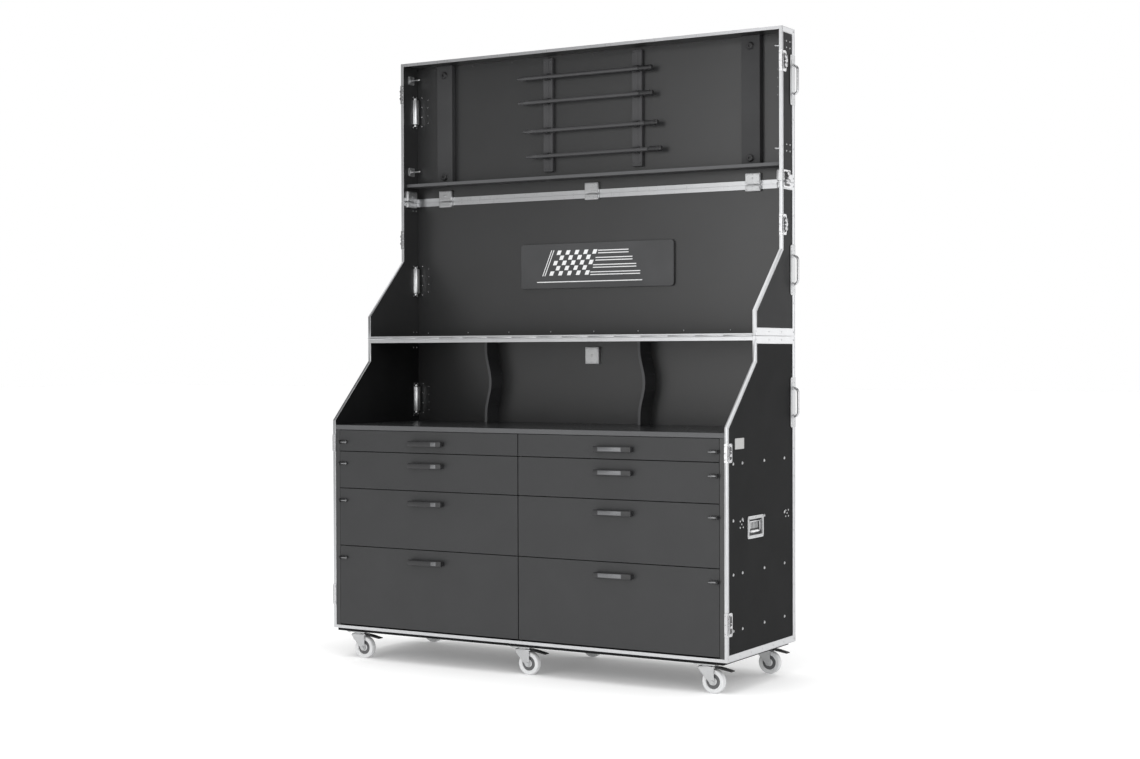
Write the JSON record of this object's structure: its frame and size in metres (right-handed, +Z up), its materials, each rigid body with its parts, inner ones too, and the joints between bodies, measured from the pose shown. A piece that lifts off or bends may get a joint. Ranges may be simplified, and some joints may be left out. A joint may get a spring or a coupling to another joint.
{
  "type": "flight case workstation",
  "caption": "Tall upright flight-case tool cabinet on casters: drawer base with worktop and cubby, and a two-part front lid that stands on top when open.",
  "frame": {"origin": "on the floor under the middle of the bounding box", "axes": "+Z up, -Y the open front with the drawers, +X the viewer's right when facing the front"},
  "size_m": [2.072, 0.696, 2.795],
  "materials": {
    "black_ply": "phenolic film-faced plywood, charcoal, fine matt texture",
    "worktop": "dark laminate, semi-gloss, lighter grey front edge",
    "graphite_front": "graphite laminate on plywood fronts and trays, dark aluminium pulls",
    "profile": "natural anodised extrusion, satin",
    "hardware": "zinc plated pressed steel",
    "runner": "zinc plated rolled steel",
    "shelf_board": "charcoal laminate, light front edge",
    "sign": "dark satin sheet with thin plain pale lines",
    "bar_steel": "charcoal powder coated tube with a ribbed grip",
    "rail_black": "charcoal powder coated rail with clips",
    "fork_zinc": "bright zinc, black brake pedal",
    "wheel_grey": "pale grey non-marking tread on a grey core",
    "divider": "flexed dark sheet, lighter edge"
  },
  "bodies": {
    "base": {"base_sides": "black_ply", "base_back": "black_ply", "base_floor": "black_ply", "base_top": "black_ply", "caster_board": "black_ply", "worktop": "worktop", "drawer_frame": "black_ply", "bowed_dividers": "divider", "base_profiles": "profile", "base_handles": "hardware", "base_latches": "hardware", "side_dishes": "hardware", "side_fittings": "hardware", "runner_rails": "runner", "caster_plates": "hardware", "hinge_base": "profile"},
    "lid_lower": {"mid_boards": "black_ply", "mid_profiles": "profile", "sign_panel": "sign", "mid_hardware": "hardware", "hinge_lid": "profile"},
    "lid_upper": {"top_boards": "black_ply", "top_profiles": "profile", "shelf": "shelf_board", "battens": "shelf_board", "bar_rails": "rail_black", "pegs": "hardware", "top_hardware": "hardware"},
    "drawer_right_1": {"drawer_right_1": "graphite_front"},
    "drawer_right_2": {"drawer_right_2": "graphite_front"},
    "drawer_right_3": {"drawer_right_3": "graphite_front"},
    "drawer_right_4": {"drawer_right_4": "graphite_front"},
    "drawer_left_1": {"drawer_left_1": "graphite_front"},
    "drawer_left_2": {"drawer_left_2": "graphite_front"},
    "drawer_left_3": {"drawer_left_3": "graphite_front"},
    "drawer_left_4": {"drawer_left_4": "graphite_front"},
    "bail_right": {"bail_right": "hardware"},
    "bail_left": {"bail_left": "hardware"},
    "caster_front_left_fork": {"caster_front_left_fork": "fork_zinc"},
    "caster_front_left_wheel": {"caster_front_left_wheel": "wheel_grey"},
    "caster_rear_left_fork": {"caster_rear_left_fork": "fork_zinc"},
    "caster_rear_left_wheel": {"caster_rear_left_wheel": "wheel_grey"},
    "caster_front_centre_fork": {"caster_front_centre_fork": "fork_zinc"},
    "caster_front_centre_wheel": {"caster_front_centre_wheel": "wheel_grey"},
    "caster_rear_centre_fork": {"caster_rear_centre_fork": "fork_zinc"},
    "caster_rear_centre_wheel": {"caster_rear_centre_wheel": "wheel_grey"},
    "caster_front_right_fork": {"caster_front_right_fork": "fork_zinc"},
    "caster_front_right_wheel": {"caster_front_right_wheel": "wheel_grey"},
    "caster_rear_right_fork": {"caster_rear_right_fork": "fork_zinc"},
    "caster_rear_right_wheel": {"caster_rear_right_wheel": "wheel_grey"},
    "bar_1": {"bar_1": "bar_steel"},
    "bar_2": {"bar_2": "bar_steel"},
    "bar_3": {"bar_3": "bar_steel"},
    "bar_4": {"bar_4": "bar_steel"},
    "wing_right_low": {"wing_right_low": "hardware"},
    "wing_right_high": {"wing_right_high": "hardware"},
    "wing_right_joint": {"wing_right_joint": "hardware"},
    "wing_left_low": {"wing_left_low": "hardware"},
    "wing_left_high": {"wing_left_high": "hardware"},
    "wing_left_joint": {"wing_left_joint": "hardware"}
  },
  "joints": [
    {"name": "lid_fold", "type": "hinge", "parent": "base", "child": "lid_lower", "pos_m": [0, -0.058, 1.466], "axis": [-1, 0, 0], "range_deg": [-180, 0]},
    {"name": "lid_upper_lift", "type": "slide", "parent": "lid_lower", "child": "lid_upper", "axis": [0, 0, 1], "range_m": [0, 0.25]},
    {"name": "drawer_right_1_slide", "type": "slide", "parent": "base", "child": "drawer_right_1", "axis": [0, -1, 0], "range_m": [0, 0.45]},
    {"name": "drawer_right_2_slide", "type": "slide", "parent": "base", "child": "drawer_right_2", "axis": [0, -1, 0], "range_m": [0, 0.45]},
    {"name": "drawer_right_3_slide", "type": "slide", "parent": "base", "child": "drawer_right_3", "axis": [0, -1, 0], "range_m": [0, 0.45]},
    {"name": "drawer_right_4_slide", "type": "slide", "parent": "base", "child": "drawer_right_4", "axis": [0, -1, 0], "range_m": [0, 0.45]},
    {"name": "drawer_left_1_slide", "type": "slide", "parent": "base", "child": "drawer_left_1", "axis": [0, -1, 0], "range_m": [0, 0.45]},
    {"name": "drawer_left_2_slide", "type": "slide", "parent": "base", "child": "drawer_left_2", "axis": [0, -1, 0], "range_m": [0, 0.45]},
    {"name": "drawer_left_3_slide", "type": "slide", "parent": "base", "child": "drawer_left_3", "axis": [0, -1, 0], "range_m": [0, 0.45]},
    {"name": "drawer_left_4_slide", "type": "slide", "parent": "base", "child": "drawer_left_4", "axis": [0, -1, 0], "range_m": [0, 0.45]},
    {"name": "bail_right_swing", "type": "hinge", "parent": "base", "child": "bail_right", "pos_m": [0.999, -0.055, 0.693], "axis": [0, -1, 0], "range_deg": [0, 85]},
    {"name": "bail_left_swing", "type": "hinge", "parent": "base", "child": "bail_left", "pos_m": [-0.999, -0.055, 0.693], "axis": [0, 1, 0], "range_deg": [0, 85]},
    {"name": "caster_front_left_swivel", "type": "hinge", "parent": "base", "child": "caster_front_left_fork", "pos_m": [-0.891, -0.272, 0.108], "axis": [0, 0, 1], "continuous": true},
    {"name": "caster_front_left_spin", "type": "hinge", "parent": "caster_front_left_fork", "child": "caster_front_left_wheel", "pos_m": [-0.863, -0.272, 0.05], "axis": [0, 1, 0], "continuous": true},
    {"name": "caster_rear_left_swivel", "type": "hinge", "parent": "base", "child": "caster_rear_left_fork", "pos_m": [-0.891, 0.271, 0.108], "axis": [0, 0, 1], "continuous": true},
    {"name": "caster_rear_left_spin", "type": "hinge", "parent": "caster_rear_left_fork", "child": "caster_rear_left_wheel", "pos_m": [-0.863, 0.271, 0.05], "axis": [0, 1, 0], "continuous": true},
    {"name": "caster_front_centre_swivel", "type": "hinge", "parent": "base", "child": "caster_front_centre_fork", "pos_m": [0, -0.272, 0.108], "axis": [0, 0, 1], "continuous": true},
    {"name": "caster_front_centre_spin", "type": "hinge", "parent": "caster_front_centre_fork", "child": "caster_front_centre_wheel", "pos_m": [0.028, -0.272, 0.05], "axis": [0, 1, 0], "continuous": true},
    {"name": "caster_rear_centre_swivel", "type": "hinge", "parent": "base", "child": "caster_rear_centre_fork", "pos_m": [0, 0.271, 0.108], "axis": [0, 0, 1], "continuous": true},
    {"name": "caster_rear_centre_spin", "type": "hinge", "parent": "caster_rear_centre_fork", "child": "caster_rear_centre_wheel", "pos_m": [0.028, 0.271, 0.05], "axis": [0, 1, 0], "continuous": true},
    {"name": "caster_front_right_swivel", "type": "hinge", "parent": "base", "child": "caster_front_right_fork", "pos_m": [0.891, -0.272, 0.108], "axis": [0, 0, 1], "continuous": true},
    {"name": "caster_front_right_spin", "type": "hinge", "parent": "caster_front_right_fork", "child": "caster_front_right_wheel", "pos_m": [0.919, -0.272, 0.05], "axis": [0, 1, 0], "continuous": true},
    {"name": "caster_rear_right_swivel", "type": "hinge", "parent": "base", "child": "caster_rear_right_fork", "pos_m": [0.891, 0.271, 0.108], "axis": [0, 0, 1], "continuous": true},
    {"name": "caster_rear_right_spin", "type": "hinge", "parent": "caster_rear_right_fork", "child": "caster_rear_right_wheel", "pos_m": [0.919, 0.271, 0.05], "axis": [0, 1, 0], "continuous": true},
    {"name": "bar_1_pull_off", "type": "slide", "parent": "lid_upper", "child": "bar_1", "axis": [0, -1, 0], "range_m": [0, 0.12]},
    {"name": "bar_2_pull_off", "type": "slide", "parent": "lid_upper", "child": "bar_2", "axis": [0, -1, 0], "range_m": [0, 0.12]},
    {"name": "bar_3_pull_off", "type": "slide", "parent": "lid_upper", "child": "bar_3", "axis": [0, -1, 0], "range_m": [0, 0.12]},
    {"name": "bar_4_pull_off", "type": "slide", "parent": "lid_upper", "child": "bar_4", "axis": [0, -1, 0], "range_m": [0, 0.12]},
    {"name": "wing_right_low_turn", "type": "hinge", "parent": "lid_lower", "child": "wing_right_low", "pos_m": [1.005, 0.234, 1.945], "axis": [1, 0, 0], "range_deg": [0, 90]},
    {"name": "wing_right_high_turn", "type": "hinge", "parent": "lid_upper", "child": "wing_right_high", "pos_m": [1.005, 0.234, 2.646], "axis": [1, 0, 0], "range_deg": [0, 90]},
    {"name": "wing_right_joint_turn", "type": "hinge", "parent": "lid_upper", "child": "wing_right_joint", "pos_m": [1.005, 0.26, 2.149], "axis": [1, 0, 0], "range_deg": [0, 90]},
    {"name": "wing_left_low_turn", "type": "hinge", "parent": "lid_lower", "child": "wing_left_low", "pos_m": [-1.005, 0.234, 1.945], "axis": [-1, 0, 0], "range_deg": [0, 90]},
    {"name": "wing_left_high_turn", "type": "hinge", "parent": "lid_upper", "child": "wing_left_high", "pos_m": [-1.005, 0.234, 2.646], "axis": [-1, 0, 0], "range_deg": [0, 90]},
    {"name": "wing_left_joint_turn", "type": "hinge", "parent": "lid_upper", "child": "wing_left_joint", "pos_m": [-1.005, 0.26, 2.149], "axis": [-1, 0, 0], "range_deg": [0, 90]}
  ]
}
